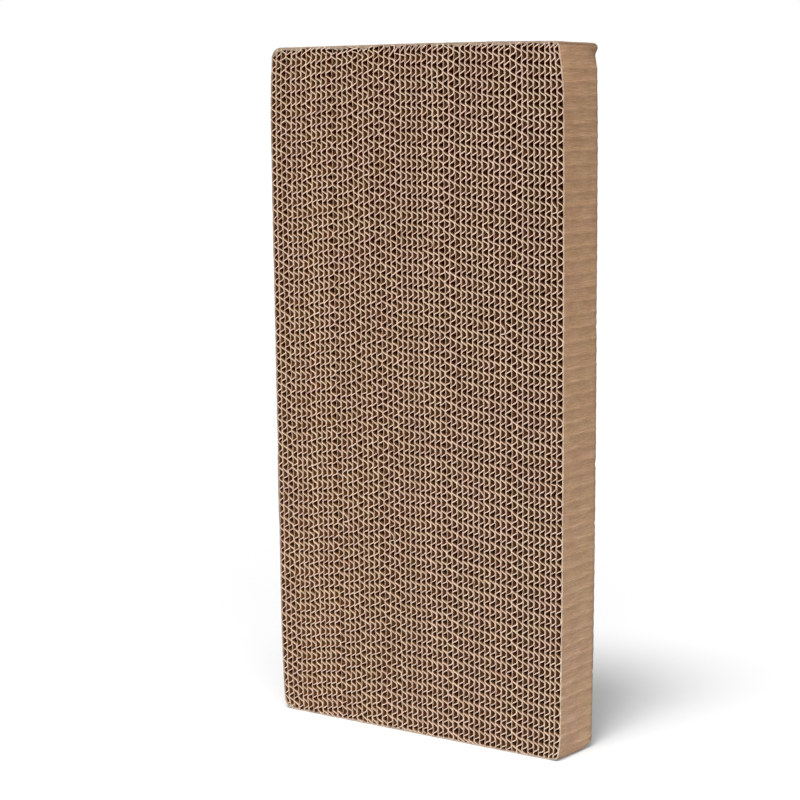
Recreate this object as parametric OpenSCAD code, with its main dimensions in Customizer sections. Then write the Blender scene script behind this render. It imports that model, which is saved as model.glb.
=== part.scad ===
// Cardboard cat scratcher: strips of single-face corrugated board, glued side by side
// and wrapped in a kraft paper band. It stands on a short end.
// X runs across the strips, Y from the front face to the back one, Z up the length.

/* [Pad] */
// Length of the pad over its band, from the end it stands on to the top
pad_l = 430; // [250:5:600]
// Depth of the pad from its front face to its back face
pad_t = 38; // [25:1:60]

/* [Strips] */
// Number of strips side by side, 99 at most
strip_n = 54; // [30:1:75]
// Width that one strip takes in the stack, from its liner to the next one
strip_p = 4; // [3:0.1:5]
// Thickness of the flat liner
liner_t = 0.35; // [0.2:0.05:0.6]
// Thickness of the fluted paper
flute_t = 0.35; // [0.2:0.05:0.6]
// Distance from one flute to the next
flute_p = 8; // [6:0.1:10]
// Thickness of the glue lines between plies, strips and band
glue_t = 0.05; // [0.02:0.01:0.1]

/* [Band] */
// Thickness of the paper band
band_t = 0.6; // [0.3:0.1:1.2]
// Outer radius of the band where it turns the left corners
corner_r = 7; // [4:0.5:10]
// Outer radius of the band where it turns the right corners, which are pulled tighter
tight_r = 2.5; // [1.5:0.5:10]
// Length over which the end of the band laps its start
lap_l = 40; // [20:5:80]
// Height of the middle of the lap
lap_z = 150; // [100:5:200]

/* [Hidden] */
$fn = 64;
kraft = [0.64, 0.50, 0.39];
pale_kraft = [0.76, 0.64, 0.52];
ply_trim = 0.02;

// How far below the top each strip's flutes start, as a share of the flute pitch. More strips
// than these start again at the first.
valley_shares = [0.55, 0.65, 0.9, 0.5, 0.55, 0.45, 0.5, 0.3, 0.15, 0.15, 0.05, 0, 0.5, 0.55, 0.45,
    0.3, 0, 0.2, 0.15, 0.95, 0, 0.45, 0.6, 0.65, 0.3, 0.35, 0.35, 0.4, 0.4, 0.3,
    0.45, 0.45, 0.45, 0.85, 0.95, 0.2, 0.2, 0.25, 0.3, 0.4, 0.45, 0.4, 0.55, 0.55, 0.6,
    0.95, 0.2, 0.35, 0.35, 0.4, 0.4, 0.45, 0.45, 0.4];

stack_w = strip_n * strip_p + glue_t;
pad_w = stack_w + 3 * band_t;
stack_x = 2 * band_t - pad_w / 2;
ring_w = pad_w - band_t;
inner_r = corner_r - band_t;
tight_inner_r = tight_r - band_t;

function two_digits(i) = str(i < 10 ? "0" : "", i);
function strip_name(i) = str("strip_", two_digits(i));

// Height at which strip i has a valley, near the top
function flute_start(i) = pad_l - valley_shares[(i - 1) % len(valley_shares)] * flute_p;

// How far a turn of the band with radius r drops below its end, at a distance from its side
function corner_drop(d, r) = d < r ? r - sqrt(pow(r, 2) - pow(r - d, 2)) : 0;
function strip_low(i) = band_t + glue_t + max(
    corner_drop((i - 1) * strip_p + glue_t, inner_r),
    corner_drop((strip_n - i) * strip_p + glue_t, tight_inner_r));
function strip_high(i) = pad_l - strip_low(i);

// The fluted paper's left face runs from valley_x to valley_x + flute_h and back
valley_x = 2 * glue_t + liner_t;
flank_angle = atan((strip_p - valley_x - flute_t) / (flute_p / 2));
flute_skew_t = flute_t / cos(flank_angle);
flute_h = strip_p - valley_x - flute_skew_t;

// Tips of the flutes between two heights as [height, x] points, with the cut ends
function tips(low, high, start) =
    [for (k = [floor((low - start) / flute_p) : ceil((high - start) / flute_p)])
        for (p = [[0, valley_x], [flute_p / 2, valley_x + flute_h]])
            [start + k * flute_p + p[0], p[1]]];
function cut(points, low, high) = concat(
    [[low, lookup(low, points)]],
    [for (p = points) if (p[0] > low + ply_trim && p[0] < high - ply_trim) p],
    [[high, lookup(high, points)]]);
function turned(points) = [for (i = [len(points) - 1 : -1 : 0]) points[i]];

module upright(depth) {
    rotate([90, 0, 0])
        linear_extrude(height = depth, center = true)
            children();
}

// Flat ply that carries the flutes
module liner(low, high) {
    upright(pad_t)
        translate([glue_t, low])
            square([liner_t, high - low]);
}

// Fluted ply, glued to the liner at its valleys
module fluting(low, high, start) {
    line = cut(tips(low, high, start), low, high);
    upright(pad_t)
        polygon(concat(
            [for (p = line) [p[1] + flute_skew_t, p[0]]],
            [for (p = turned(line)) [p[1], p[0]]]));
}

module strip(i) {
    low = strip_low(i);
    high = strip_high(i);
    translate([stack_x + (i - 1) * strip_p, 0, 0]) {
        color(kraft) liner(low, high);
        color(pale_kraft) fluting(low, high, flute_start(i));
    }
}

module rounded_outline(w, l, left_r, right_r) {
    translate([left_r, 0]) square([w - left_r - right_r, l]);
    translate([0, left_r]) square([left_r, l - 2 * left_r]);
    translate([w - right_r, right_r]) square([right_r, l - 2 * right_r]);
    for (y = [left_r, l - left_r]) translate([left_r, y]) circle(left_r);
    for (y = [right_r, l - right_r]) translate([w - right_r, y]) circle(right_r);
}

// Paper wound once round the stack, with its end lapped over its start on the left
module edge_band() {
    color(kraft)
        upright(pad_t) {
            difference() {
                translate([stack_x - band_t, 0])
                    rounded_outline(ring_w, pad_l, corner_r, tight_r);
                translate([stack_x, band_t])
                    rounded_outline(stack_w, pad_l - 2 * band_t, inner_r, tight_inner_r);
            }
            translate([-pad_w / 2, lap_z - lap_l / 2])
                square([band_t, lap_l]);
        }
}

for (i = [1:strip_n])
    strip(i);
edge_band();
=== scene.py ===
"""Cardboard cat scratcher: strips of fluted board on edge, wrapped in one paper band.

The pad stands on a short end. X runs across the strips, Y from the front face to the
back one and Z up the length. Every length is in metres.
"""

import logging
import math
from dataclasses import dataclass, field
from enum import Enum

import bpy
import numpy as np
from mathutils import Matrix, Vector


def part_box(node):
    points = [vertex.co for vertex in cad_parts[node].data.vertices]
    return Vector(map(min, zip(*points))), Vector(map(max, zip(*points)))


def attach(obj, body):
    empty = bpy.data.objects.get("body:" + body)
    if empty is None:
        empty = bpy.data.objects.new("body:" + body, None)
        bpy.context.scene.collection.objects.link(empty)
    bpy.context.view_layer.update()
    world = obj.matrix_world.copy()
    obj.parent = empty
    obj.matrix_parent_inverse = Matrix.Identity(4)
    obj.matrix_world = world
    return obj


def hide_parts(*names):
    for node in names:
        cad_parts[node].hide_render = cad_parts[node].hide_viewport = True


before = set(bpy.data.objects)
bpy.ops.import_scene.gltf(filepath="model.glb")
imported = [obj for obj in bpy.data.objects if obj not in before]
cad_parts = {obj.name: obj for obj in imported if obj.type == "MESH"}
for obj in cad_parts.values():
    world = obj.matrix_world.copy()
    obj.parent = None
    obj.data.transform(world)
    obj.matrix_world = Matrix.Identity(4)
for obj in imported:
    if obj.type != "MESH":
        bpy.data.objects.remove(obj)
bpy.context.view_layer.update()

MM = 0.001
HALF_DEPTH = 19.0 * MM
STRIP_WIDTH = 4.0 * MM
FLUTE_PITCH = 8.0 * MM
GLUE = 0.05 * MM
BODY = "root"
LOG = logging.getLogger("cat_scratcher")

Pair = tuple[float, float]
Triple = tuple[float, float, float]
Colour = Triple
Output = bpy.types.NodeSocket
Feed = Output | float | Colour

WHITE: Colour = (1.0, 1.0, 1.0)
FLOAT, VECTOR = "NodeSocketFloat", "NodeSocketVector"
SRGB_KNEE, SRGB_SLOPE, SRGB_OFFSET, SRGB_POWER = 0.04045, 12.92, 0.055, 2.4


def shade(red: float, green: float, blue: float) -> Colour:
    """Turns a display colour into the linear one that the shaders take.

    Args:
        red: Red, 0 to 255.
        green: Green, 0 to 255.
        blue: Blue, 0 to 255.

    Returns:
        The linear colour, 0 to 1.
    """

    def linear(part: float) -> float:
        """Returns one part of the linear colour."""
        if part <= SRGB_KNEE:
            return part / SRGB_SLOPE
        return ((part + SRGB_OFFSET) / (1 + SRGB_OFFSET)) ** SRGB_POWER

    return linear(red / 255), linear(green / 255), linear(blue / 255)


def wander(rng: np.random.Generator, along: np.ndarray, *grades: Pair) -> np.ndarray:
    """Draws a smooth random line.

    Args:
        rng: Source of the random numbers.
        along: Places at which the line is wanted.
        *grades: For each grade, the distance between its random knots and their
            standard deviation.

    Returns:
        One value for each place, the sum of the grades.
    """
    total = np.zeros(len(along))
    for step, amount in grades:
        place = (along - along.min()) / step
        below = np.floor(place).astype(int)
        knots = rng.normal(0.0, amount, int(below.max()) + 2)
        part = place - below
        part = part * part * (3 - 2 * part)
        total += knots[below] * (1 - part) + knots[below + 1] * part
    return total


def fade(gap: np.ndarray, reach: float) -> np.ndarray:
    """Returns shares that fall from 1 where the gap is closed to 0 at its reach."""
    return np.clip(1 - gap / reach, 0, 1)


class Surface(Enum):
    """Which finish a face of a sheet of paper has."""

    WALL = 0
    CUT = 1


class Lie(Enum):
    """How a wall lies in its cell, as the number that the shaders read."""

    UNDERSIDE = 0.0
    TOP_SIDE = 0.5
    FLAT = 1.0


@dataclass(frozen=True)
class Grain:
    """A noise: its length along each axis as times its size, its size and its octaves."""

    stretch: Triple
    size: float
    octaves: float


@dataclass
class Wiring:
    """Adds nodes to one shader tree and links them."""

    tree: bpy.types.NodeTree

    @classmethod
    def emptied(cls, owner: bpy.types.Material | bpy.types.World) -> "Wiring":
        """Starts on the own tree of a material or world.

        Args:
            owner: The material or world, whose nodes are cleared.

        Returns:
            The wiring of its tree.
        """
        owner.use_nodes = True
        owner.node_tree.nodes.clear()
        return cls(owner.node_tree)

    def node(self, kind: str, **values: object) -> bpy.types.Node:
        """Adds a node.

        Args:
            kind: Type name of the node.
            **values: Its properties, or its input sockets by name with _ for a space.

        Returns:
            The node.
        """
        made = self.tree.nodes.new(kind)
        for name, value in values.items():
            if hasattr(made, name):
                setattr(made, name, value)
            else:
                self.put(value, made.inputs[name.replace("_", " ")])
        return made

    def group(self, tree: bpy.types.NodeTree, position: Output, **values: Feed) -> bpy.types.Node:
        """Returns a new node for a shader part, at a place on the object."""
        return self.node("ShaderNodeGroup", node_tree=tree, Position=position, **values)

    def attribute(self, name: str) -> Output:
        """Returns the output of a number that each point of the mesh has."""
        return self.node("ShaderNodeAttribute", attribute_name=name).outputs["Fac"]

    def put(self, value: Feed, socket: bpy.types.NodeSocket) -> None:
        """Links an output to a socket, or sets the socket's own value.

        Args:
            value: An output socket, a number or a colour.
            socket: The input socket.
        """
        if isinstance(value, bpy.types.NodeSocket):
            self.tree.links.new(value, socket)
        elif isinstance(value, tuple) and socket.type == "RGBA":
            socket.default_value = (*value, 1.0)
        else:
            socket.default_value = value

    def sums(self, operation: str, first: Feed, second: Feed) -> Output:
        """Adds a Math node.

        Args:
            operation: What it does.
            first: First number or output.
            second: Second number or output.

        Returns:
            Its output socket.
        """
        made = self.node("ShaderNodeMath", operation=operation)
        self.put(first, made.inputs[0])
        self.put(second, made.inputs[1])
        return made.outputs[0]

    def times(self, first: Feed, second: Feed) -> Output:
        """Returns the product of two numbers or outputs."""
        return self.sums("MULTIPLY", first, second)

    def grey(self, value: Output) -> Output:
        """Makes a grey colour.

        Args:
            value: Output with its level, which may be over 1.

        Returns:
            The colour output socket.
        """
        level = self.node("ShaderNodeCombineColor")
        for socket in level.inputs:
            self.put(value, socket)
        return level.outputs[0]

    def blend(self, share: Feed, first: Feed, second: Feed, mode: str = "MIX") -> Output:
        """Adds a colour Mix node.

        Args:
            share: Share of the second colour.
            first: First colour or output.
            second: Second colour or output.
            mode: Blend mode.

        Returns:
            Its colour output socket.
        """
        made = self.node("ShaderNodeMix", data_type="RGBA", blend_type=mode)
        share_socket, *_, first_socket, second_socket = made.inputs[:8]
        self.put(share, share_socket)
        self.put(first, first_socket)
        self.put(second, second_socket)
        return made.outputs[2]

    def remap(self, value: Output, limits: Pair, results: Pair = (0.0, 1.0)) -> Output:
        """Adds a smooth Map Range node.

        Args:
            value: Output to map.
            limits: The two values between which the result changes.
            results: What the result is at each of them.

        Returns:
            Its output socket.
        """
        made = self.node("ShaderNodeMapRange", interpolation_type="SMOOTHSTEP")
        for socket, number in zip(made.inputs, (value, *limits, *results)):
            self.put(number, socket)
        return made.outputs[0]

    def noise(self, position: Output, grain: Grain) -> Output:
        """Adds a Noise Texture that is stretched along the axes.

        Args:
            position: Output with the place on the object.
            grain: Size and shape of the noise.

        Returns:
            Its value output socket.
        """
        scaled = self.node("ShaderNodeVectorMath", operation="MULTIPLY")
        self.put(position, scaled.inputs[0])
        self.put(tuple(1.0 / length for length in grain.stretch), scaled.inputs[1])
        made = self.node("ShaderNodeTexNoise", Scale=1.0 / grain.size, Detail=grain.octaves)
        self.put(scaled.outputs[0], made.inputs["Vector"])
        return made.outputs["Fac"]


@dataclass(frozen=True)
class ShaderPart:
    """A named shader node group: its inputs as (name, kind, value), and its number outputs."""

    name: str
    inputs: tuple[tuple[str, str, float | None], ...]
    outputs: tuple[str, ...]

    def start(self) -> tuple[Wiring, bpy.types.Node, bpy.types.Node]:
        """Makes the empty group.

        Returns:
            The group's wiring, and its input and output nodes.
        """
        tree = bpy.data.node_groups.new(self.name, "ShaderNodeTree")
        for name, kind, value in self.inputs:
            socket = tree.interface.new_socket(name, in_out="INPUT", socket_type=kind)
            if value is not None:
                socket.default_value = value
        for name in self.outputs:
            tree.interface.new_socket(name, in_out="OUTPUT", socket_type=FLOAT)
        wiring = Wiring(tree)
        return wiring, wiring.node("NodeGroupInput"), wiring.node("NodeGroupOutput")


@dataclass(frozen=True)
class PaperGrain:
    """The grain of kraft paper: fibres, pulp clouds, flecks and scuffs, and masks of place."""

    long_fibres: Grain = Grain((1.0, 12.0, 1.0), 1.0 * MM, 4.0)
    cross_fibres: Grain = Grain((2.0, 1.0, 3.0), 0.7 * MM, 4.0)
    fibre_limits: Pair = (0.38, 0.62)
    spots: tuple[tuple[str, Grain, Pair], ...] = (
        ("Clouds", Grain((1.0, 1.6, 1.0), 9.0 * MM, 5.0), (0.30, 0.70)),
        ("Flecks", Grain((1.0, 2.5, 1.0), 1.6 * MM, 2.0), (0.66, 0.78)),
        ("Patches", Grain((1.0, 1.0, 1.2), 13.0 * MM, 1.0), (0.36, 0.64)),
        ("Wear", Grain((1.0, 16.0, 1.0), 0.6 * MM, 2.0), (0.52, 0.68)),
    )
    foot_limits: Pair = (0.33, -0.05)
    left_limits: Pair = (0.09, -0.11)
    streaks: float = 0.5
    cloud_height: float = 0.3

    def build(self) -> bpy.types.NodeTree:
        """Builds the node group.

        Returns:
            The group, with masks from 0 to 1 and a height.
        """
        part = ShaderPart(
            "paper grain",
            (("Position", VECTOR, None), ("Streaks", FLOAT, self.streaks)),
            ("Fibres", "Clouds", "Flecks", "Patches", "Wear", "Foot", "Left", "Height"),
        )
        wiring, source, result = part.start()
        position, share = source.outputs["Position"], source.outputs["Streaks"]
        lined = wiring.times(wiring.noise(position, self.long_fibres), share)
        other = wiring.sums("SUBTRACT", 1.0, share)
        crossed = wiring.times(wiring.noise(position, self.cross_fibres), other)
        fibres = wiring.sums("ADD", lined, crossed)
        place = wiring.node("ShaderNodeSeparateXYZ", Vector=position)
        noises = {name: wiring.noise(position, grain) for name, grain, _ in self.spots}
        masks = [(name, noises[name], limits) for name, _, limits in self.spots]
        masks += [
            ("Fibres", fibres, self.fibre_limits),
            ("Foot", place.outputs["Z"], self.foot_limits),
            ("Left", place.outputs["X"], self.left_limits),
        ]
        for name, value, limits in masks:
            wiring.put(wiring.remap(value, limits), result.inputs[name])
        swelling = wiring.times(noises["Clouds"], self.cloud_height)
        wiring.put(wiring.sums("ADD", fibres, swelling), result.inputs["Height"])
        return wiring.tree


@dataclass(frozen=True)
class SawnFray:
    """The fray of a sawn edge: torn fibres, dust and bruised spots."""

    torn: Grain = Grain((1.0, 1.0, 1.0), 0.8 * MM, 3.0)
    torn_limits: Pair = (0.35, 0.65)
    bruises: Grain = Grain((1.0, 1.0, 1.0), 7.0 * MM, 3.0)
    bruise_limits: Pair = (0.45, 0.72)
    rag_limits: Pair = (0.3, 0.7)
    rag: Pair = (-0.25, 0.25)
    pale_limits: Pair = (0.25, 0.85)

    def build(self) -> bpy.types.NodeTree:
        """Builds the node group.

        Returns:
            The group, with masks from 0 to 1 and a height.
        """
        part = ShaderPart(
            "sawn fray",
            (("Position", VECTOR, None), ("Depth", FLOAT, 1.0)),
            ("Torn", "Bruised", "Pale", "Height"),
        )
        wiring, source, result = part.start()
        torn = wiring.noise(source.outputs["Position"], self.torn)
        bruised = wiring.noise(source.outputs["Position"], self.bruises)
        ragged = wiring.remap(torn, self.rag_limits, self.rag)
        pale = wiring.sums("ADD", source.outputs["Depth"], ragged)
        for name, value, limits in (
            ("Torn", torn, self.torn_limits),
            ("Bruised", bruised, self.bruise_limits),
            ("Pale", pale, self.pale_limits),
        ):
            wiring.put(wiring.remap(value, limits), result.inputs[name])
        wiring.put(torn, result.inputs["Height"])
        return wiring.tree


@dataclass(frozen=True)
class PaintedCellShade:
    """Painted shade and painted light on the walls of the flutes, by how they lie and how deep they are.
    """

    # Painted shadow just behind the cut edge, and painted light deeper in on flat walls.
    shallow_limits: Pair = (0.1 * MM, 0.7 * MM)
    painted_shadow_levels: Pair = (1.0, 0.6)
    deep_limits: Pair = (1.0 * MM, 4.6 * MM)
    painted_light_levels: Pair = (0.0, 1.1)
    # Pale painted rims on the top sides of the walls near the cut edge.
    painted_rim_limits: Pair = (0.3 * MM, 1.7 * MM)
    painted_rim_levels: Pair = (1.0, 0.0)

    def build(self) -> bpy.types.NodeTree:
        """Builds the node group.

        Returns:
            The group, with a level of painted shade and light that is 1 at the pad's faces, and masks for
            the painted shade on undersides and the pale painted rims.
        """
        part = ShaderPart(
            "painted cell shade",
            (
                ("Position", VECTOR, None),
                ("Lie", FLOAT, Lie.TOP_SIDE.value),
                ("Half Depth", FLOAT, HALF_DEPTH),
            ),
            ("Level", "Painted Underside", "Painted Rim"),
        )
        wiring, source, result = part.start()
        place = wiring.node("ShaderNodeSeparateXYZ", Vector=source.outputs["Position"])
        from_middle = wiring.sums("ABSOLUTE", place.outputs["Y"], 0.0)
        inside = wiring.sums("SUBTRACT", source.outputs["Half Depth"], from_middle)
        # Painted shadow behind the cut edge and painted light deeper in.
        shallow = wiring.remap(inside, self.shallow_limits, self.painted_shadow_levels)
        deep = wiring.remap(inside, self.deep_limits, self.painted_light_levels)
        lie = source.outputs["Lie"]
        flat = wiring.remap(lie, (Lie.TOP_SIDE.value, Lie.FLAT.value))
        painted_underside_mask = wiring.remap(lie, (Lie.TOP_SIDE.value, Lie.UNDERSIDE.value))
        top_side = wiring.sums("SUBTRACT", 1.0, painted_underside_mask)
        painted_rim = wiring.times(wiring.remap(inside, self.painted_rim_limits, self.painted_rim_levels), top_side)
        level = wiring.sums("ADD", shallow, wiring.times(deep, flat))
        for name, value in (("Level", level), ("Painted Underside", painted_underside_mask), ("Painted Rim", painted_rim)):
            wiring.put(value, result.inputs[name])
        return wiring.tree


@dataclass(frozen=True)
class PaperFinish:
    """Kraft paper, with pale fibres where it was cut."""

    name: str
    base: Colour
    light: Colour
    dark: Colour
    worn: Colour
    cut: Colour
    bruise: Colour
    streaks: float
    fibre_share: float
    cloud_share: float
    fleck_share: float
    wear_share: float
    bump: float
    specular: float
    # Share of the painted shade and light inside the flutes.
    painted_cell_shade_share: float
    foot_tint: Colour = WHITE
    left_tint: Colour = WHITE
    # Pale painted rims and a dark painted shade on the undersides inside the flutes.
    painted_rim: Colour = shade(190, 157, 126)
    painted_rim_share: float = 0.8
    bruise_share: float = 0.6
    torn_share: float = 0.25
    painted_underside_shade: Colour = (0.6, 0.26, 0.11)
    yellow_tint: Colour = (1.0, 1.0, 0.93)
    red_tint: Colour = (1.0, 0.965, 0.955)
    roughness: Pair = (0.82, 0.94)
    bump_distance: float = 0.15 * MM

    def material(
        self, grain: bpy.types.NodeTree, fray: bpy.types.NodeTree, cells: bpy.types.NodeTree
    ) -> bpy.types.Material:
        """Makes the material.

        Args:
            grain: Node group of the paper's grain.
            fray: Node group of its cut edges.
            cells: Node group of the painted shade and light inside the flutes.

        Returns:
            The material.
        """
        made = bpy.data.materials.new(self.name)
        wiring = Wiring.emptied(made)
        position = wiring.node("ShaderNodeTexCoord").outputs["Object"]
        paper = wiring.group(grain, position, Streaks=self.streaks)
        edge = wiring.group(fray, position, Depth=wiring.attribute("cut"))
        inner = wiring.group(cells, position, Lie=wiring.attribute("lie"))

        walls = self.wall_colour(wiring, paper, inner)
        colour = wiring.blend(edge.outputs["Pale"], walls, self.sawn_colour(wiring, edge))
        patches = wiring.blend(paper.outputs["Patches"], self.yellow_tint, self.red_tint)
        for share, tint in (
            (1.0, wiring.grey(wiring.attribute("tone"))),
            (1.0, patches),
            (paper.outputs["Foot"], self.foot_tint),
        ):
            colour = wiring.blend(share, colour, tint, "MULTIPLY")

        height = wiring.sums("ADD", paper.outputs["Height"], edge.outputs["Height"])
        bump = wiring.node(
            "ShaderNodeBump", Strength=self.bump, Distance=self.bump_distance, Height=height
        )
        shader = wiring.node(
            "ShaderNodeBsdfPrincipled",
            Base_Color=colour,
            Roughness=wiring.remap(paper.outputs["Fibres"], (0.0, 1.0), self.roughness),
            Normal=bump.outputs[0],
            Specular_IOR_Level=self.specular,
        )
        wiring.node("ShaderNodeOutputMaterial", Surface=shader.outputs[0])
        return made

    def wall_colour(self, wiring: Wiring, paper: bpy.types.Node, inner: bpy.types.Node) -> Output:
        """Wires the colour of the paper's two sides, with painted shade, painted light and pale painted
        rims inside the flutes.

        Args:
            wiring: Wiring of the material.
            paper: Node of the paper's grain.
            inner: Node of the painted shade and light inside the flutes.

        Returns:
            Output with the colour.
        """
        colour = self.base
        for mask, share, other in (
            ("Fibres", self.fibre_share, self.light),
            ("Clouds", self.cloud_share, self.dark),
            ("Flecks", self.fleck_share, self.dark),
            ("Wear", self.wear_share, self.worn),
        ):
            colour = wiring.blend(wiring.times(paper.outputs[mask], share), colour, other)
        colour = wiring.blend(paper.outputs["Left"], colour, self.left_tint, "MULTIPLY")
        # Pale painted rims, the painted shade level and a dark painted shade on undersides.
        painted_rim = wiring.times(inner.outputs["Painted Rim"], self.painted_cell_shade_share * self.painted_rim_share)
        colour = wiring.blend(painted_rim, colour, self.painted_rim)
        level = wiring.grey(inner.outputs["Level"])
        colour = wiring.blend(self.painted_cell_shade_share, colour, level, "MULTIPLY")
        under = wiring.times(inner.outputs["Painted Underside"], self.painted_cell_shade_share)
        return wiring.blend(under, colour, self.painted_underside_shade, "MULTIPLY")

    def sawn_colour(self, wiring: Wiring, edge: bpy.types.Node) -> Output:
        """Wires the colour of the paper's cut edges.

        Args:
            wiring: Wiring of the material.
            edge: Node of the fray.

        Returns:
            Output with the colour.
        """
        bruised = wiring.times(edge.outputs["Bruised"], self.bruise_share)
        torn = wiring.times(edge.outputs["Torn"], self.torn_share)
        return wiring.blend(torn, wiring.blend(bruised, self.cut, self.bruise), self.base)


WALL_PAPER = PaperFinish(
    "kraft ply",
    base=shade(186, 132, 88),
    light=shade(204, 151, 108),
    dark=shade(161, 110, 71),
    worn=shade(200, 160, 120),
    cut=shade(237, 214, 197),
    bruise=shade(216, 188, 165),
    streaks=0.5,
    fibre_share=0.8,
    cloud_share=0.35,
    fleck_share=0.5,
    wear_share=0.0,
    bump=0.5,
    specular=0.05,
    painted_cell_shade_share=1.0,
    left_tint=(1.2, 1.17, 0.82),
)
BAND_PAPER = PaperFinish(
    "kraft band paper",
    base=shade(198, 155, 120),
    light=shade(217, 177, 142),
    dark=shade(170, 128, 95),
    worn=shade(228, 190, 156),
    cut=shade(226, 202, 180),
    bruise=shade(172, 148, 124),
    streaks=0.62,
    fibre_share=0.9,
    cloud_share=0.28,
    fleck_share=0.55,
    wear_share=0.42,
    bump=1.5,
    specular=0.25,
    painted_cell_shade_share=0.0,
    foot_tint=(1.0, 1.09, 1.2),
)


@dataclass
class Sheet:
    """A bent sheet of paper: stations along it, and rings across the depth of the pad."""

    centre: np.ndarray
    depth: np.ndarray
    thickness: np.ndarray
    cut: np.ndarray
    tone: np.ndarray
    lie: np.ndarray

    def corners(self) -> np.ndarray:
        """Works out the points of its two sides.

        Returns:
            The points of its right and left side, as (side, station, ring, XYZ).
        """
        along = np.gradient(self.centre, axis=0)
        along /= np.maximum(np.linalg.norm(along, axis=2, keepdims=True), 1e-12)
        normal = np.stack([along[..., 1], -along[..., 0]], axis=2)
        sides = []
        for half in (0.5, -0.5):
            flat = self.centre + normal * (half * self.thickness)[..., None]
            sides.append(np.stack([flat[..., 0], self.depth, flat[..., 1]], axis=2))
        return np.stack(sides)

    def quads(self) -> tuple[np.ndarray, np.ndarray]:
        """Lists its faces.

        Returns:
            The corner numbers of each face, and the surface of each face.
        """
        count, rings = self.depth.shape
        right, left = np.arange(2 * count * rings).reshape(2, count, rings)

        def joined(*corners: np.ndarray) -> np.ndarray:
            """Returns the quads with those four corners."""
            return np.stack(corners, axis=-1).reshape(-1, 4)

        walls = [
            joined(right[:-1, :-1], right[:-1, 1:], right[1:, 1:], right[1:, :-1]),
            joined(left[:-1, :-1], left[1:, :-1], left[1:, 1:], left[:-1, 1:]),
        ]
        cuts = [
            joined(left[:-1, 0], right[:-1, 0], right[1:, 0], left[1:, 0]),
            joined(left[:-1, -1], left[1:, -1], right[1:, -1], right[:-1, -1]),
            joined(left[-1, :-1], right[-1, :-1], right[-1, 1:], left[-1, 1:]),
            joined(left[0, :-1], left[0, 1:], right[0, 1:], right[0, :-1]),
        ]
        walls, cuts = np.concatenate(walls), np.concatenate(cuts)
        surfaces = np.repeat([Surface.WALL.value, Surface.CUT.value], [len(walls), len(cuts)])
        return np.concatenate([walls, cuts]), surfaces


def paper_piece(name: str, sheets: list[Sheet], material: bpy.types.Material) -> bpy.types.Object:
    """Makes one object from sheets of paper.

    Args:
        name: Name of the object.
        sheets: The sheets in it.
        material: Their material.

    Returns:
        The object, linked to the scene.
    """
    points, quads, surfaces = [], [], []
    start = 0
    for sheet in sheets:
        corners = sheet.corners().reshape(-1, 3)
        faces, kinds = sheet.quads()
        points.append(corners)
        quads.append(faces + start)
        surfaces.append(kinds)
        start += len(corners)
    points, quads, surfaces = (np.concatenate(rows) for rows in (points, quads, surfaces))
    mesh = bpy.data.meshes.new(name)
    mesh.vertices.add(len(points))
    mesh.vertices.foreach_set("co", points.astype(np.float32).ravel())
    mesh.loops.add(quads.size)
    mesh.loops.foreach_set("vertex_index", quads.astype(np.int32).ravel())
    mesh.polygons.add(len(quads))
    mesh.polygons.foreach_set("loop_start", np.arange(0, quads.size, 4, dtype=np.int32))
    mesh.polygons.foreach_set("use_smooth", surfaces == Surface.WALL.value)
    for label in ("cut", "tone", "lie"):
        values = np.concatenate([np.tile(getattr(sheet, label).ravel(), 2) for sheet in sheets])
        layer = mesh.attributes.new(label, "FLOAT", "POINT")
        layer.data.foreach_set("value", values.astype(np.float32))
    mesh.materials.append(material)
    mesh.update(calc_edges=True)
    mesh.validate()
    made = bpy.data.objects.new(name, mesh)
    bpy.context.scene.collection.objects.link(made)
    return made


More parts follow.
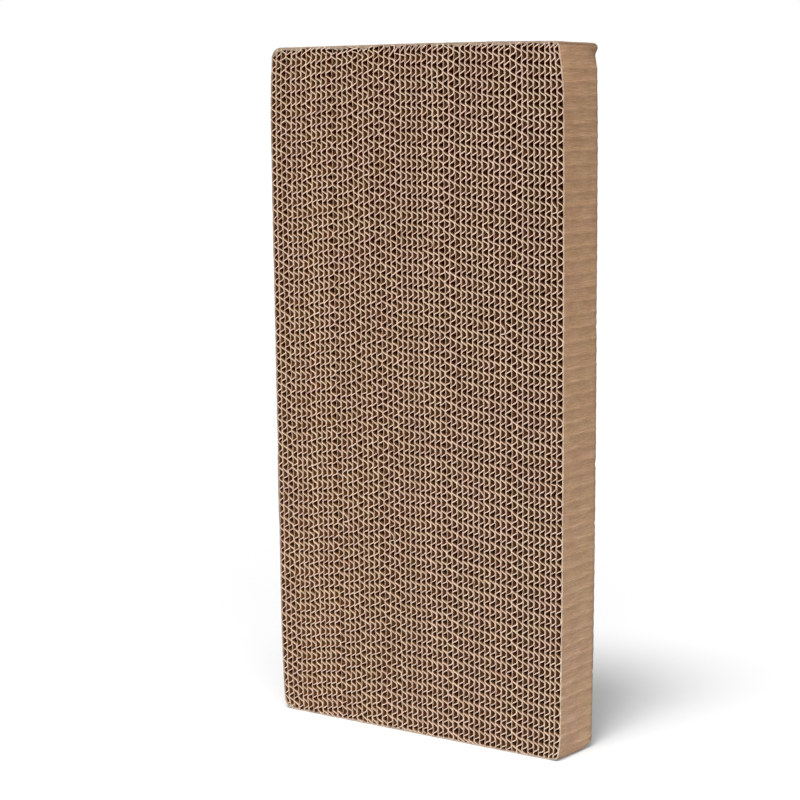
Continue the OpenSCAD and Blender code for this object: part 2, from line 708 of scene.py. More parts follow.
@dataclass
class PadShape:
    """The space inside the band, which the strips fill."""

    left: float
    right: float
    bottom: float
    top: float
    left_corner: float = 6.4 * MM
    right_corner: float = 2.2 * MM
    pinch: float = 3.5 * MM
    pinch_reach: Pair = (12.5 * MM, 36.0 * MM)
    pinch_powers: Pair = (1.2, 2)
    foot_pinch: float = 1.7 * MM
    foot_reach: Pair = (10.0 * MM, 14.0 * MM)
    foot_power: float = 1.5
    foot_lift: float = 0.8 * MM
    back_lift: float = 2.6 * MM
    back_lift_reach: Triple = (14.0 * MM, 9.0 * MM, 11.0 * MM)
    back_lift_power: float = 1.2
    flare: float = 1.0 * MM
    flare_reach: float = 7.0 * MM
    flare_power: float = 1.5
    back_sag: float = 0.8 * MM
    sag_reach: Pair = (60.0 * MM, 25.0 * MM)
    dent: float = 1.4 * MM
    dent_height: float = 423.0 * MM
    dent_reach: Pair = (10.0 * MM, 4.5 * MM)
    dent_powers: Pair = (1.3, 8)
    edge_reach: float = 12.0 * MM
    low_tuck: Pair = (1.0 * MM, 0.4 * MM)
    low_tuck_reach: float = 190.0 * MM
    left_sway: Pair = (0.9 * MM, -1.2 * MM)
    right_sway: Pair = (0.2 * MM, 0.9 * MM)
    right_sway_power: float = 4
    middle_sway: float = 0.75 * MM
    left_tuck: Pair = (1.9 * MM, 2.4 * MM)
    tuck_reach: float = 60.0 * MM
    twist: float = 1.2 * MM
    swell: float = 0.6 * MM
    swell_reach: float = 70.0 * MM
    swell_power: float = 1.4

    def spans(self, x: np.ndarray, z: np.ndarray) -> tuple[np.ndarray, np.ndarray]:
        """Says how far across and how far up the stack points are.

        Args:
            x: Places across the stack.
            z: Places up the stack.

        Returns:
            The shares of its width and of its height.
        """
        across = (x - self.left) / (self.right - self.left)
        up = (z - self.bottom) / (self.top - self.bottom)
        return np.clip(across, 0, 1), np.clip(up, 0, 1)

    def settle(self, points: np.ndarray, depth: np.ndarray) -> np.ndarray:
        """Moves points of a straight stack to where the glued and banded ones are.

        Args:
            points: Points with X and Z in the last axis.
            depth: Their Y.

        Returns:
            The moved points.
        """
        moved = self.press(points)
        x, z = moved[..., 0].copy(), moved[..., 1].copy()
        back = np.clip(0.5 + depth / (2 * HALF_DEPTH), 0, 1)
        from_side, from_top, from_foot = self.right - x, self.top - z, z - self.bottom
        at_side = fade(from_side, self.edge_reach)

        across = fade(from_side, self.pinch_reach[0]) ** self.pinch_powers[0]
        along = fade(from_top, self.pinch_reach[1]) ** self.pinch_powers[1]
        moved[..., 0] -= self.pinch * across * along * (1 - back)

        across, along = fade(from_side, self.foot_reach[0]), fade(from_foot, self.foot_reach[1])
        moved[..., 0] -= self.foot_pinch * across * along**self.foot_power * (1 - back)
        moved[..., 1] += self.foot_lift * across**self.foot_power * along * (1 - back) ** 2

        lifted = fade(HALF_DEPTH - depth, self.back_lift_reach[2]) ** self.back_lift_power
        for gap, reach in zip((from_side, from_foot), self.back_lift_reach):
            lifted = lifted * fade(gap, reach)
        moved[..., 1] += self.back_lift * lifted

        spread = fade(np.hypot(from_side, from_top), self.flare_reach) ** self.flare_power
        moved[..., 0] += self.flare * (spread * back**2)
        sunk = fade(from_side, self.sag_reach[0]) * fade(from_top, self.sag_reach[1])
        moved[..., 1] -= self.back_sag * sunk * back

        below, above = ((z - self.dent_height) / reach for reach in self.dent_reach)
        dented = fade(np.maximum(-below, above), 1) ** self.dent_powers[0]
        moved[..., 0] -= self.dent * dented * at_side * back ** self.dent_powers[1]
        tuck = self.low_tuck[0] * (1 - back) + self.low_tuck[1] * back
        moved[..., 0] -= fade(from_foot, self.low_tuck_reach) * at_side * tuck

        share, up = self.spans(x, z)
        moved[..., 0] += self.sway(x, z) - self.twist * back * share * (1 - up) ** 2
        risen = fade(from_top, self.swell_reach) ** 2
        moved[..., 1] += self.swell * np.sin(math.pi * share**self.swell_power) * risen
        return moved

    def sway(self, x: np.ndarray, z: np.ndarray) -> np.ndarray:
        """Says how far right of a true stack the hand-glued one stands.

        Args:
            x: Places across the stack.
            z: Places up the stack.

        Returns:
            One length for each place.
        """
        share, up = self.spans(x, z)
        left = self.left_sway[0] * (1 - up) + self.left_sway[1] * up
        for tuck, gap in zip(self.left_tuck, (z - self.bottom, self.top - z)):
            left = left + tuck * fade(gap, self.tuck_reach) ** 2
        bowed = 1 - (2 * up - 1) ** self.right_sway_power
        right = self.right_sway[0] + self.right_sway[1] * bowed
        middle = self.middle_sway * (1 - up) * 4 * share * (1 - share)
        return left * (1 - share) + right * share + middle

    def press(self, points: np.ndarray) -> np.ndarray:
        """Moves points of the square corners into the band's round ones.

        Args:
            points: Points with X and Z in the last axis.

        Returns:
            The moved points.
        """
        moved = points.copy()
        for side, way, radius in (
            (self.left, 1.0, self.left_corner),
            (self.right, -1.0, self.right_corner),
        ):
            for end, up in ((self.bottom, 1.0), (self.top, -1.0)):
                across = 1 - (moved[..., 0] - side) * way / radius
                along = 1 - (moved[..., 1] - end) * up / radius
                inside = (across > 0) & (along > 0)
                a = np.clip(across[inside], 0, 1)
                b = np.clip(along[inside], 0, 1)
                moved[..., 0][inside] = side + way * radius * (1 - a * np.sqrt(1 - b * b / 2))
                moved[..., 1][inside] = end + up * radius * (1 - b * np.sqrt(1 - a * a / 2))
        return moved


@dataclass
class FlutedStrip:
    """One strip of single-face board: a flat liner and the fluted ply glued to it."""

    number: int
    left: float
    valley: float
    shape: PadShape
    seams: tuple[np.ndarray, np.ndarray]
    width: float = STRIP_WIDTH
    pitch: float = FLUTE_PITCH
    ply: float = 0.3 * MM
    ply_uneven: Pair = (2.0 * MM, 0.12)
    ply_tone: float = 0.035
    tone_drift: Pair = (15 * MM, 0.03)
    liner_steps: int = 8
    liner_cut: float = 0.3 * MM
    liner_tone: float = 0.93
    liner_sag: float = 0.35 * MM
    liner_push: float = 0.1 * MM
    liner_stray: Pair = (9 * MM, 0.04 * MM)
    flute_cut: float = 0.56 * MM
    flute_tone: float = 1.0
    end_trim: float = 0.1 * MM
    bow: Pair = (30 * MM, 0.12 * MM)
    cut_stray: Pair = (1.3 * MM, 0.045 * MM)
    cut_ragged: Pair = (1.1 * MM, 0.09 * MM)
    cut_step: float = 0.1 * MM
    crush: float = 0.0
    crush_zone: float = 12.0 * MM
    crush_power: float = 2.5
    buckle_share: float = 0.22
    buckles_per_mm: float = 1.1
    buckle_reach: float = 9 * MM
    lean: float = 0.0
    lean_reach: float = 10 * MM
    turn_shares: tuple[float, ...] = (0, 0.07, 0.12, 0.16, 0.31, 0.35, 0.4, 0.5)
    wave_shares: tuple[float, ...] = (0, 0.015, 0.085, 0.2, 0.8, 0.915, 0.985, 1)
    # Painted shade and light along each flute: darker at the valleys, lighter on the flank rising from
    # valley to crest.
    painted_shade_turn_shares: tuple[float, ...] = (0, 0.1, 0.28, 0.45, 0.5, 0.75, 0.95, 1)
    painted_shade_shares: tuple[float, ...] = (0.86, 1.04, 1.23, 1.06, 0.98, 0.99, 0.95, 0.86)
    # How each part of a flute lies, which picks its painted shade on undersides and its pale painted
    # rims.
    lie_turn_shares: tuple[float, ...] = (0, 0.1, 0.44, 0.54, 0.9, 1)
    lie_shares: tuple[float, ...] = (0.2, 0, 0.05, 0.5, 0.5, 0.2)
    ring_depths: tuple[float, ...] = (0.0, 0.3 * MM, 2.0 * MM, 36 * MM, 37.7 * MM, 38 * MM)
    ring_shares: tuple[float, ...] = (1.0, 0.3, 0.0, 0.0, 0.3, 1.0)
    tip_stray: Pair = (0.07 * MM, 0.22 * MM)
    torn_share: float = 0.025
    torn_times: float = 4.5
    drift: float = 0.5 * MM
    drift_fall: float = 2.1 * MM
    drift_centre_share: float = 0.42
    first_seed: int = 1000
    rng: np.random.Generator = field(init=False)

    def __post_init__(self) -> None:
        """Starts the strip's own random numbers."""
        self.rng = np.random.default_rng(self.first_seed + self.number)

    def squeeze(self, height: np.ndarray) -> np.ndarray:
        """Pushes the crushed end of the strip down under the band.

        Args:
            height: Heights on the straight strip, which is longer by its crush.

        Returns:
            The heights after crushing.
        """
        zone = self.crush_zone
        start = self.shape.top - zone
        ratio = (zone + self.crush) / zone
        part = np.clip((height - start) / (zone + self.crush), 0, 1)
        pressed = start + zone * (ratio * part + (1 - ratio) * part**self.crush_power)
        return np.where(height > start, pressed, height)

    def seam(self, height: np.ndarray, share: np.ndarray | float) -> np.ndarray:
        """Says how far right of an even stack the strip is.

        Args:
            height: Heights up the strip.
            share: Where in the strip, 0 at its left seam and 1 at its right one.

        Returns:
            One length for each height.
        """
        knots = np.linspace(self.shape.bottom, self.shape.top, len(self.seams[0]))
        left, right = (np.interp(height, knots, line) for line in self.seams)
        return left * (1 - share) + right * share

    def sheet(
        self,
        height: np.ndarray,
        across: np.ndarray,
        cut_ply: float,
        tone: np.ndarray | float,
        lie: np.ndarray | float,
    ) -> Sheet:
        """Makes one ply.

        Args:
            height: Height of each station on the straight strip.
            across: X of each station.
            cut_ply: Thickness of the ply where it was cut.
            tone: How light the ply is, 1 for plain.
            lie: How it lies in its cell, by the numbers of Lie.

        Returns:
            The ply.
        """
        rings = len(self.ring_depths)
        rough = np.array(self.ring_shares)
        below_top = self.shape.top - height
        centre = np.zeros((len(height), rings, 2))
        bow = wander(self.rng, height, self.bow)
        beat = below_top * self.buckles_per_mm / MM
        buckle = self.crush * self.buckle_share * np.sin(beat + self.number)
        buckle = buckle * fade(below_top, self.buckle_reach)
        for ring in range(rings):
            stray = wander(self.rng, height, self.cut_stray) * rough[ring]
            centre[:, ring, 0] = across + stray + buckle
            centre[:, ring, 1] = self.squeeze(height) + (bow if 1 < ring < rings - 2 else 0.0)
        depth = np.zeros((len(height), rings))
        for ring, place in enumerate(self.ring_depths):
            ragged = wander(self.rng, height, self.cut_ragged) * rough[ring]
            step = self.rng.normal(0.0, self.cut_step) * rough[ring]
            depth[:, ring] = place - HALF_DEPTH + ragged + step
        centre = self.shape.settle(centre, depth)
        uneven = 1 + wander(self.rng, height, self.ply_uneven)[:, None] * rough
        thickness = (self.ply + (cut_ply - self.ply) * rough) * uneven
        cut = np.tile(rough, (len(height), 1))
        cut[[0, -1]] = 1.0
        level = tone + self.rng.normal(0.0, self.ply_tone)
        level = level + wander(self.rng, height, self.tone_drift)
        lies = np.broadcast_to(lie, height.shape)
        painted_light_range, lies = (np.tile(values[:, None], (1, rings)) for values in (level, lies))
        return Sheet(centre, depth, thickness, cut, painted_light_range, lies)

    def liner(self) -> Sheet:
        """Makes the flat ply.

        Returns:
            The ply.
        """
        high = self.shape.top + self.crush
        height = np.append(np.arange(self.shape.bottom, high, self.pitch / self.liner_steps), high)
        turns = (height - self.valley - self.drifted(height)) / self.pitch
        give = np.interp(self.wave(turns), (0, 1), (-self.liner_sag, self.liner_push))
        across = self.left + self.ply / 2 + give + wander(self.rng, height, self.liner_stray)
        across = across + self.seam(height, 0.0)
        return self.sheet(height, across, self.liner_cut, self.liner_tone, Lie.FLAT.value)

    def wave(self, turns: np.ndarray) -> np.ndarray:
        """Says how far from its valley to its crest the fluted ply is.

        Args:
            turns: Places along it, in flutes from a valley.

        Returns:
            Shares, 0 at a valley and 1 at a crest.
        """
        return np.interp(0.5 - np.abs(turns % 1 - 0.5), self.turn_shares, self.wave_shares)

    def drifted(self, height: np.ndarray) -> np.ndarray:
        """Says how far above an even spacing the flutes are.

        Args:
            height: Heights up the strip.

        Returns:
            One length for each height.
        """
        up = (height - self.shape.bottom) / (self.shape.top - self.shape.bottom)
        off_centre = (up - self.drift_centre_share) / (1 - self.drift_centre_share)
        return self.drift - self.drift_fall * off_centre**2

    def fluting(self) -> Sheet:
        """Makes the fluted ply.

        Returns:
            The ply.
        """
        low, high = self.shape.bottom, self.shape.top + self.crush
        first = math.floor((low - self.valley) / self.pitch)
        last = math.ceil((high - self.valley) / self.pitch)
        rise = np.array(self.turn_shares)
        one_turn = np.concatenate([rise, 1 - rise[-2:0:-1]])
        turns = (np.arange(first, last)[:, None] + one_turn).ravel()
        place = self.valley + turns * self.pitch
        place = place + self.drifted(place)
        inside = (place > low + self.end_trim) & (place < high - self.end_trim)
        height = np.concatenate([[low], place[inside], [high]])
        turns = np.interp(height, place, turns)
        wave = self.wave(turns)
        valley_x = self.left + self.ply * 1.5 - self.liner_sag
        crest_x = self.left + self.width - self.ply / 2
        tips = np.arange(math.floor(turns.min() * 2) - 1, math.ceil(turns.max() * 2) + 2)
        torn = np.where(self.rng.random(len(tips)) < self.torn_share, self.torn_times, 1.0)
        stray_x, stray_z = (
            np.interp(turns * 2, tips, self.rng.normal(0, amount, len(tips)) * torn)
            for amount in self.tip_stray
        )
        tilt = (wave - 0.5) * self.lean * fade(self.shape.top - height, self.lean_reach)
        across = valley_x + (crest_x - valley_x) * wave + stray_x + self.seam(height, wave)
        # The flute's tone carries painted shade at its valleys and painted light on its rising flank.
        tone = self.flute_tone * np.interp(turns % 1, self.painted_shade_turn_shares, self.painted_shade_shares)
        lie = np.interp(turns % 1, self.lie_turn_shares, self.lie_shares)
        return self.sheet(height + stray_z + tilt, across, self.flute_cut, tone, lie)

    def build(self, material: bpy.types.Material) -> bpy.types.Object:
        """Makes the strip in place of its solid.

        Args:
            material: Material of its paper.

        Returns:
            The strip's object.
        """
        sheets = [self.liner(), self.fluting()]
        made = paper_piece(f"strip_{self.number:02d}_board", sheets, material)
        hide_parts(f"strip_{self.number:02d}")
        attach(made, BODY)
        return made


@dataclass
class StripStack:
    """All the strips, glued face to face in the band."""

    shape: PadShape
    count: int = 54
    pad_height: float = 430.0 * MM
    width: float = STRIP_WIDTH
    pitch: float = FLUTE_PITCH
    crush_limit: float = 4.0 * MM
    lean_limit: float = 2.5 * MM
    first_liner_cut: float = 0.14 * MM
    first_liner_tone: float = 0.6
    seed: int = 5000
    seam_knots: int = 108
    seam_stray: tuple[Pair, ...] = ((24 * MM, 0.1 * MM), (9 * MM, 0.06 * MM))
    glue_up_seams: tuple[int, ...] = (0, 1, 11, 16, 21, 26, 31, 41, 54)
    glue_up_shares: tuple[float, ...] = (-0.5, -0.5, -0.4, -0.15, 0.05, 0.3, 0, -0.1, 0)
    wobble_height_shares: tuple[float, ...] = (
        0, 0.047, 0.093, 0.15, 0.22, 0.29, 0.36, 0.77, 0.92, 0.965, 1,
    )  # fmt: skip
    wobble_shares: tuple[float, ...] = (
        -0.4, -0.3, 0.2, 0.05, -0.2, -0.1, 0, -0.1, 0.25, -0.35, -0.4,
    )  # fmt: skip
    wobble_power: int = 4
    valley_shares: tuple[float, ...] = (
        0.55, 0.65, 0.9, 0.5, 0.55, 0.45, 0.5, 0.3, 0.15, 0.15, 0.05, 0, 0.5, 0.55, 0.45, 0.3, 0, 0.2,
        0.15, 0.95, 0, 0.45, 0.6, 0.65, 0.3, 0.35, 0.35, 0.4, 0.4, 0.3, 0.45, 0.45, 0.45, 0.85, 0.95, 0.2,
        0.2, 0.25, 0.3, 0.4, 0.45, 0.4, 0.55, 0.55, 0.6, 0.95, 0.2, 0.35, 0.35, 0.4, 0.4, 0.45, 0.45, 0.4,
    )  # fmt: skip
    crush_first: int = 11
    crush_shares: tuple[float, ...] = (0.3, 0.55, 0.7, 0.5, 0.8, 0.9, 1.0, 0.85, 1.0, 0.7, 0.3)
    lean_first: int = 22
    lean_shares: tuple[float, ...] = (0.4, 0.7, 0.9, 1.0, 1.0, 0.9, 0.8, 0.7, 0.5, 0.3)

    def share_of(self, shares: tuple[float, ...], first: int, number: int) -> float:
        """Returns the share that a table gives a strip, or 0."""
        place = number - first
        return shares[place] if 0 <= place < len(shares) else 0.0

    def seams(self) -> list[np.ndarray]:
        """Draws how far each seam strays from straight; the outer two lie on the band.

        Returns:
            The seams from the left one to the right one, each at even heights.
        """
        rng = np.random.default_rng(self.seed)
        height = np.linspace(self.shape.bottom, self.shape.top, self.seam_knots)
        up = np.linspace(0, 1, self.seam_knots)
        wobble = np.interp(up, self.wobble_height_shares, self.wobble_shares) * MM
        inner = []
        for number in range(1, self.count):
            glue_up = np.interp(number, self.glue_up_seams, self.glue_up_shares) * MM
            stray = wander(rng, height, *self.seam_stray)
            wobbled = wobble * (1 - (number / self.count) ** self.wobble_power)
            inner.append(stray + glue_up + wobbled)
        return [0 * height, *inner, 0 * height]

    def build(self, material: bpy.types.Material) -> None:
        """Makes every strip.

        Args:
            material: Material of their paper.
        """
        seams = self.seams()
        for number in range(1, self.count + 1):
            strip = FlutedStrip(
                number=number,
                left=self.shape.left + (number - 1) * self.width,
                valley=self.pad_height - self.valley_shares[number - 1] * self.pitch,
                shape=self.shape,
                seams=(seams[number - 1], seams[number]),
                width=self.width,
                pitch=self.pitch,
                crush=self.crush_limit * self.share_of(self.crush_shares, self.crush_first, number),
                lean=self.lean_limit * self.share_of(self.lean_shares, self.lean_first, number),
            )
            if number == 1:
                strip.liner_cut, strip.liner_tone = self.first_liner_cut, self.first_liner_tone
            made = strip.build(material)
            LOG.info("%s: %d faces", made.name, len(made.data.polygons))


@dataclass
class BandCourse:
    """The band's centreline, its length so far, its outward directions and its sides as shares."""

    line: np.ndarray
    run: np.ndarray
    outward: np.ndarray
    on_right: np.ndarray
    on_left: np.ndarray
    on_end: np.ndarray


@dataclass
class EdgeBand:
    """The paper band round the stack, with its end lapped over its start on the left."""

    shape: PadShape
    thickness: float = 0.6 * MM
    side_ply: float = 0.34 * MM
    left_ply: float = 0.17 * MM
    end_ply: float = 0.58 * MM
    ply_uneven: Pair = (3 * MM, 0.2)
    spacing: float = 0.9 * MM
    turn_steps: int = 12
    side_blend: float = 0.3 * MM
    rings: int = 22
    ring_power: float = 0.4
    lap_low: float = 130.0 * MM
    lap_high: float = 170.0 * MM
    lap_step: float = 0.3 * MM
    lap_lead: float = 4.5 * MM
    lap_rise: float = 5.4 * MM
    pitch: float = FLUTE_PITCH
    width: float = STRIP_WIDTH
    crest: float = 6.6 * MM
    ripple: float = 0.085 * MM
    ripple_levels: Triple = (1.0, 0.45, 0.25)
    left_ripple_share: float = 0.3
    end_ripple: float = 0.05 * MM
    ripple_shares: Pair = (0.7, 0.3)
    ripple_turn: float = 1.4
    calm_reach: float = 16.0 * MM
    loose: tuple[Pair, ...] = ((16 * MM, 0.05 * MM), (5 * MM, 0.02 * MM))
    # Painted light: the band is lighter at its foot than at its top.
    painted_light_range: Pair = (1.21, 0.93)
    # Painted shade on the band's turn onto the top of the pad at its right.
    painted_turn_shade: float = 0.62
    painted_turn_shade_turns: Pair = (0.06, 0.5)
    painted_turn_shade_blend: float = 1.0 * MM
    top_dark: float = 0.14
    top_dark_reach: float = 22.0 * MM
    # Painted light near the foot of the right side.
    painted_foot_light: float = 0.14
    painted_foot_light_reach: float = 14.0 * MM
    # Painted shade along the back edge of the band's sides.
    painted_back_shade: float = 0.45
    painted_back_shade_power: int = 14
    edge_share: float = 0.02
    # Painted shade on the band's cut edges: at its foot, its top, its left and its right.
    painted_edge_shades: tuple[float, float, float, float] = (0.4, 0.36, 0.48, 0.12)
    edge_ragged: tuple[Pair, ...] = ((7 * MM, 0.05 * MM), (1.5 * MM, 0.04 * MM))
    side_edge_ply: float = 0.22 * MM
    end_beads: Pair = (0.35 * MM, 0.85 * MM)
    corner_bead: float = 1.1 * MM
    corner_bead_reach: float = 9.0 * MM
    corner_bead_power: float = 0.7
    lumps: Pair = (2.2 * MM, 0.7)
    lump_limits: Pair = (0.15, 2.4)
    corner_trim: float = 1.6 * MM
    trim_reach: float = 3.2 * MM
    trim_power: float = 1.5
    nick: float = 0.9 * MM
    nick_reach: float = 2.2 * MM
    nick_power: int = 18
    nick_heights: tuple[float, ...] = (262 * MM, 178 * MM, 142 * MM, 48 * MM)
    roll: float = 0.2 * MM
    roll_share: float = 0.07
    roll_uneven: Pair = (18 * MM, 0.15)
    seed: int = 77
    lump_seed: int = 78

    def straight(self, start: np.ndarray, end: np.ndarray) -> np.ndarray:
        """Returns even points between two points, without those two."""
        count = max(2, round(np.linalg.norm(end - start) / self.spacing))
        return start + (end - start) * np.linspace(0, 1, count + 1)[1:-1, None]

    def path(self) -> np.ndarray:
        """Draws the band's centreline.

        Returns:
            Its points, from the start under the lap to the end over it.
        """
        beside, beyond = self.thickness - self.side_ply / 2, self.thickness - self.end_ply / 2
        left = self.shape.left - self.thickness + self.left_ply / 2
        right = self.shape.right + beside
        bottom, top = self.shape.bottom - beyond, self.shape.top + beyond
        soft, tight = self.shape.left_corner + beside, self.shape.right_corner + beside
        turns = np.linspace(0, math.pi / 2, self.turn_steps)
        points = [np.array([[left, self.lap_low]])]
        for x, z, radius, begin in (
            (left + soft, top - soft, soft, math.pi),
            (right - tight, top - tight, tight, math.pi / 2),
            (right - tight, bottom + tight, tight, 0.0),
            (left + soft, bottom + soft, soft, -math.pi / 2),
        ):
            angles = begin - turns
            turn = np.stack([x + radius * np.cos(angles), z + radius * np.sin(angles)], axis=1)
            points += [self.straight(points[-1][-1], turn[0]), turn]
        finish = np.array([[left, self.lap_high]])
        points += [self.straight(points[-1][-1], finish[0]), finish]
        return np.concatenate(points)

    def course(self) -> BandCourse:
        """Measures the band's centreline.

        Returns:
            The line with its lengths, directions and sides.
        """
        line = self.path()
        run = np.concatenate([[0], np.cumsum(np.linalg.norm(np.diff(line, axis=0), axis=1))])
        along = np.gradient(line, axis=0)
        along /= np.linalg.norm(along, axis=1, keepdims=True)
        outward = np.stack([-along[:, 1], along[:, 0]], axis=1)
        on_right = np.clip((line[:, 0] - self.shape.right) / self.side_blend + 1, 0, 1)
        on_left = np.clip((self.shape.left - line[:, 0]) / self.side_blend + 1, 0, 1)
        on_end = 1 - np.maximum(on_right, on_left)
        return BandCourse(line, run, outward, on_right, on_left, on_end)

    def swell(self, course: BandCourse) -> np.ndarray:
        """Says how far the flutes and strips under the band push it out.

        Args:
            course: The band's course.

        Returns:
            One length for each of its points.
        """
        x, z = course.line.T
        beat = 2 * math.pi * (self.shape.top - z - self.crest) / self.pitch
        flutes = sum(level * np.cos(n * beat) for n, level in enumerate(self.ripple_levels, 1))
        strips = np.cos(2 * math.pi * (x - self.shape.left) / self.width)
        sides = course.on_right + self.left_ripple_share * course.on_left
        swell = self.ripple * flutes * sides + self.end_ripple * strips * course.on_end
        return swell * np.clip((self.shape.top - z) / self.calm_reach, 0, 1)

    def lap(self, course: BandCourse) -> np.ndarray:
        """Says how far the end of the band stands off its start.

        Args:
            course: The band's course.

        Returns:
            One length for each of its points.
        """
        to_finish = course.run[-1] - course.run
        lapped = self.lap_high - self.lap_low + self.lap_lead - to_finish
        return np.clip(lapped / self.lap_rise, 0, 1) * self.lap_step

    def painted_turn_shade_share(self, course: BandCourse) -> np.ndarray:
        """Says how much painted shade the band's turn onto the top of the pad gets.

        Args:
            course: The band's course.

        Returns:
            Shares, 1 where it has turned onto the top of the pad at its right.
        """
        from_right = course.line[:, 0].max() - course.line[:, 0]
        right = np.clip((self.shape.right_corner - from_right) / self.painted_turn_shade_blend + 1, 0, 1)
        start, span = self.painted_turn_shade_turns
        return np.clip((course.outward[:, 1] - start) / span, 0, 1) * right

    def tone(self, course: BandCourse, plain: np.ndarray) -> np.ndarray:
        """Says how light the band is, with painted shade on its turn onto the top, painted light near its
        foot and darker towards the top of its right side.

        Args:
            course: The band's course.
            plain: How light it is without its other marks, with its painted light, lighter at the foot
                than at the top.

        Returns:
            One level for each of its points.
        """
        from_top, from_foot = self.shape.top - course.line[:, 1], course.line[:, 1] - self.shape.bottom
        darker = self.top_dark * course.on_right * fade(from_top, self.top_dark_reach)
        # Painted light near the foot of the right side.
        lighter = self.painted_foot_light * course.on_right * fade(from_foot, self.painted_foot_light_reach)
        return plain * (1 - self.painted_turn_shade * self.painted_turn_shade_share(course)) * (1 - darker) * (1 + lighter)

    def painted_edge_tone(self, course: BandCourse, plain: np.ndarray) -> np.ndarray:
        """Says how light the cut edges of the band are, with painted shade on them at its foot, its top,
        its left and its right.

        Args:
            course: The band's course.
            plain: How light it is without its other marks, with its painted light, lighter at the foot
                than at the top.

        Returns:
            One level for each of its points.
        """
        at_foot = course.line[:, 1] < (self.shape.bottom + self.shape.top) / 2
        on_foot, on_top = course.on_end * at_foot, course.on_end * ~at_foot
        weights = (on_foot, on_top, course.on_left, course.on_right)
        return plain * (1 - sum(dark * weight for dark, weight in zip(self.painted_edge_shades, weights)))

    def bead(self, course: BandCourse) -> np.ndarray:
        """Says how much thicker the rolled and crushed cut edge is than the band.

        Args:
            course: The band's course.

        Returns:
            One length for each of its points.
        """
        x, z = course.line.T
        low, high = self.shape.bottom, self.shape.top
        from_corner = np.hypot(x - x.min(), np.minimum(high - z, z - low))
        at_corner = fade(from_corner, self.corner_bead_reach) ** self.corner_bead_power
        bead = np.interp(z, (low, high), self.end_beads) * course.on_end
        bead = bead + self.corner_bead * at_corner
        lumps = wander(np.random.default_rng(self.lump_seed), course.run, self.lumps)
        return bead * np.clip(1 + lumps, *self.lump_limits) + self.side_edge_ply * course.on_right

    def nicked(self, course: BandCourse) -> np.ndarray:
        """Says how much of the band's back edge is torn off.

        Args:
            course: The band's course.

        Returns:
            One length for each of its points.
        """
        x, z = course.line.T
        from_nick = np.min([np.abs(z - height) for height in self.nick_heights], axis=0)
        nicks = self.nick * fade(from_nick, self.nick_reach) * course.on_right
        from_corner = np.hypot(x - x.max(), z - z.max())
        return nicks + self.corner_trim * fade(from_corner, self.trim_reach) ** self.trim_power

    def sheet(self) -> Sheet:
        """Makes the band's paper.

        Returns:
            The sheet, from its start round to its end.
        """
        rng = np.random.default_rng(self.seed)
        course = self.course()
        line, run, outward = course.line, course.run, course.outward
        # The band's painted light, lighter at the foot than at the top.
        plain = np.interp(line[:, 1], (self.shape.bottom, self.shape.top), self.painted_light_range)
        tone, painted_edge_tone = self.tone(course, plain), self.painted_edge_tone(course, plain)
        swell, lap = self.swell(course), self.lap(course)
        bead, nicked = self.bead(course), self.nicked(course)
        ply = self.side_ply * course.on_right + self.left_ply * course.on_left
        ply = ply + self.end_ply * course.on_end
        places = np.linspace(-1, 1, self.rings)
        places = np.sign(places) * np.abs(places) ** self.ring_power
        shape = (len(line), self.rings)
        centre = np.zeros((*shape, 2))
        depth, thickness, cut, level = (np.zeros(shape) for _ in range(4))
        for ring, place in enumerate(places):
            edge = max(0.0, (abs(place) - 1 + self.edge_share) / self.edge_share)
            at_back = max(0.0, place)
            loose = wander(rng, run, *self.loose)
            rolled = max(0.0, (place - 1 + self.roll_share) / self.roll_share) ** 2
            rolled = rolled * self.roll * (1 + wander(rng, run, self.roll_uneven))
            fullness = self.ripple_shares[0] + self.ripple_shares[1] * math.cos(place * self.ripple_turn)
            shift = swell * fullness + loose + lap - rolled
            ragged = wander(rng, run, *self.edge_ragged)
            depth[:, ring] = place * HALF_DEPTH + edge * ragged - nicked * at_back**self.nick_power
            centre[:, ring] = line + outward * shift[:, None]
            centre[:, ring] += self.shape.settle(line, depth[:, ring]) - self.shape.press(line)
            thickness[:, ring] = ply * (1 + edge * wander(rng, run, self.ply_uneven)) + bead * edge
            centre[:, ring] -= outward * (bead * edge / 2)[:, None]
            cut[:, ring] = edge
            # Painted shade along the back edge of the band's sides.
            painted_back_edge_shade = self.painted_back_shade * at_back**self.painted_back_shade_power * (course.on_right + course.on_left)
            level[:, ring] = (1 - painted_back_edge_shade) * (tone + edge * (painted_edge_tone - tone))
        cut[[0, -1]] = 1.0
        return Sheet(centre, depth, thickness, cut, level, Lie.TOP_SIDE.value + 0 * level)

    def build(self, material: bpy.types.Material) -> bpy.types.Object:
        """Makes the band in place of its solid.

        Args:
            material: Material of its paper.

        Returns:
            The band's object.
        """
        made = paper_piece("paper_band", [self.sheet()], material)
        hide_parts("edge_band")
        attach(made, BODY)
        return made


@dataclass(frozen=True)
class SoftLamp:
    """A distant soft lamp, by the heading and height in degrees that it shines from."""

    name: str
    heading: float
    height: float
    strength: float
    size: float

    def build(self) -> bpy.types.Object:
        """Makes the lamp.

        Returns:
            The lamp, linked to the scene.
        """
        data = bpy.data.lights.new(self.name, "SUN")
        data.energy = self.strength * math.pi
        data.angle = math.radians(self.size)
        made = bpy.data.objects.new(self.name, data)
        heading, height = math.radians(self.heading), math.radians(self.height)
        level = math.cos(height)
        from_lamp = Vector((math.sin(heading) * level, -math.cos(heading) * level, math.sin(height)))
        made.rotation_mode = "QUATERNION"
        made.rotation_quaternion = from_lamp.to_track_quat("Z", "Y")
        bpy.context.scene.collection.objects.link(made)
        return made


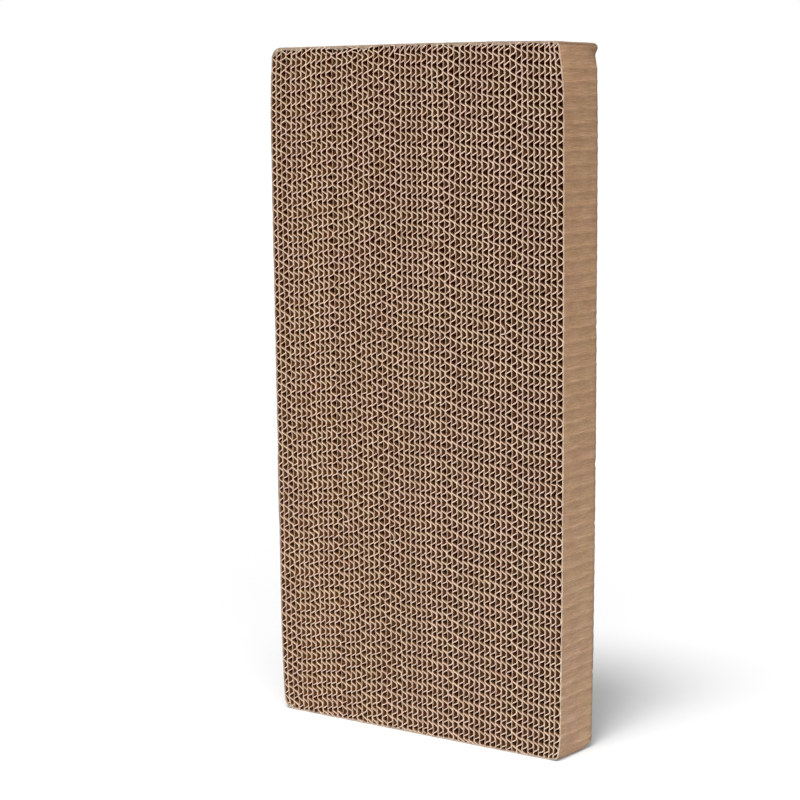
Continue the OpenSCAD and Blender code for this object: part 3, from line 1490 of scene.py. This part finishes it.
@dataclass
class Studio:
    """Plain pale floor, soft lamps and a white surround."""

    lamps: tuple[SoftLamp, ...] = (
        SoftLamp("key_front", 9, 66, 0.96, 18),
        SoftLamp("key_side", 27, 71, 0.37, 21),
        SoftLamp("fill_low", 37, 35, 0.3, 36),
    )
    surround: float = 0.16
    floor_colour: Colour = (0.55, 0.55, 0.55)
    bounce_colour: Colour = (0.3, 0.3, 0.3)
    floor_lift: float = 0.16
    floor_half: float = 8.0

    def seen_directly(self, wiring: Wiring) -> Output:
        """Wires a mask of what is seen and not only lights.

        Args:
            wiring: Wiring of a material or the world.

        Returns:
            Output that is 1 for camera, glossy and transmission rays.
        """
        path = wiring.node("ShaderNodeLightPath")
        camera, glossy, through = (
            path.outputs[f"Is {kind} Ray"] for kind in ("Camera", "Glossy", "Transmission")
        )
        return wiring.sums("MAXIMUM", wiring.sums("MAXIMUM", camera, glossy), through)

    def build_world(self) -> None:
        """Makes the surround: white where it is seen, and dimmer where it lights."""
        world = bpy.data.worlds.new("white surround")
        wiring = Wiring.emptied(world)
        both = wiring.node("ShaderNodeMixShader")
        wiring.put(self.seen_directly(wiring), both.inputs[0])
        for strength, socket in zip((self.surround, 1.0), both.inputs[1:]):
            light = wiring.node("ShaderNodeBackground", Color=WHITE, Strength=strength)
            wiring.put(light.outputs[0], socket)
        wiring.node("ShaderNodeOutputWorld", Surface=both.outputs[0])
        bpy.context.scene.world = world

    def build_floor(self) -> bpy.types.Object:
        """Makes the floor, a plain plate that keeps the pad's shadow.

        Returns:
            The floor, linked to the scene.
        """
        mesh = bpy.data.meshes.new("floor")
        half = self.floor_half
        corners = [(-half, -half, 0), (half, -half, 0), (half, half, 0), (-half, half, 0)]
        mesh.from_pydata(corners, [], [(0, 1, 2, 3)])
        material = bpy.data.materials.new("pale floor")
        wiring = Wiring.emptied(material)
        seen = self.seen_directly(wiring)
        colour = wiring.blend(seen, self.bounce_colour, self.floor_colour)
        matt = wiring.node("ShaderNodeBsdfDiffuse", Color=colour)
        lift = wiring.times(seen, self.floor_lift)
        glow = wiring.node("ShaderNodeEmission", Color=WHITE, Strength=lift)
        both = wiring.node("ShaderNodeAddShader")
        wiring.put(matt.outputs[0], both.inputs[0])
        wiring.put(glow.outputs[0], both.inputs[1])
        wiring.node("ShaderNodeOutputMaterial", Surface=both.outputs[0])
        mesh.materials.append(material)
        made = bpy.data.objects.new("floor", mesh)
        bpy.context.scene.collection.objects.link(made)
        return made

    def build(self) -> None:
        """Makes the world, the floor and the lamps."""
        self.build_world()
        self.build_floor()
        for lamp in self.lamps:
            lamp.build()


@dataclass
class PhotoCamera:
    """The camera, at the photograph's viewing angle, turned by angles in degrees."""

    place: Triple = (0.7899, -1.1133, 0.4009)
    yaw: float = 36.157
    pitch: float = -9.206
    roll: float = -0.511
    lens: float = 99.0
    sensor: float = 36.0
    shift_y: float = 0.0625
    clip: Pair = (0.05, 50.0)

    def build(self) -> bpy.types.Object:
        """Makes the camera.

        Returns:
            The camera, set as the scene's.
        """
        data = bpy.data.cameras.new("photo_camera")
        data.lens, data.sensor_width, data.shift_y = self.lens, self.sensor, self.shift_y
        data.clip_start, data.clip_end = self.clip
        yaw, pitch, roll = (math.radians(a) for a in (self.yaw, self.pitch, self.roll))
        level = Vector((math.cos(yaw), math.sin(yaw), 0.0))
        ahead = Vector(
            (-math.sin(yaw) * math.cos(pitch), math.cos(yaw) * math.cos(pitch), math.sin(pitch))
        )
        upright = level.cross(ahead)
        right = level * math.cos(roll) + upright * math.sin(roll)
        up = -level * math.sin(roll) + upright * math.cos(roll)
        made = bpy.data.objects.new("photo_camera", data)
        turned = Matrix((right, up, -ahead)).transposed().to_4x4()
        made.matrix_world = Matrix.Translation(Vector(self.place)) @ turned
        bpy.context.scene.collection.objects.link(made)
        bpy.context.scene.camera = made
        return made


def main() -> None:
    """Builds the pad, piece by piece, and then its studio."""
    logging.basicConfig(level=logging.INFO, format="%(name)s: %(message)s")
    bpy.context.scene.view_settings.view_transform = "Standard"
    PhotoCamera().build()
    low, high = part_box("edge_band")
    shape = PadShape(
        left=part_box("strip_01")[0].x - GLUE,
        right=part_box("strip_54")[1].x,
        bottom=low.z + EdgeBand.thickness,
        top=high.z - EdgeBand.thickness,
    )
    parts = (PaperGrain().build(), SawnFray().build(), PaintedCellShade().build())
    StripStack(shape).build(WALL_PAPER.material(*parts))
    band = EdgeBand(shape).build(BAND_PAPER.material(*parts))
    LOG.info("%s: %d faces", band.name, len(band.data.polygons))
    Studio().build()
    bpy.context.view_layer.update()


if __name__ == "__main__":
    main()
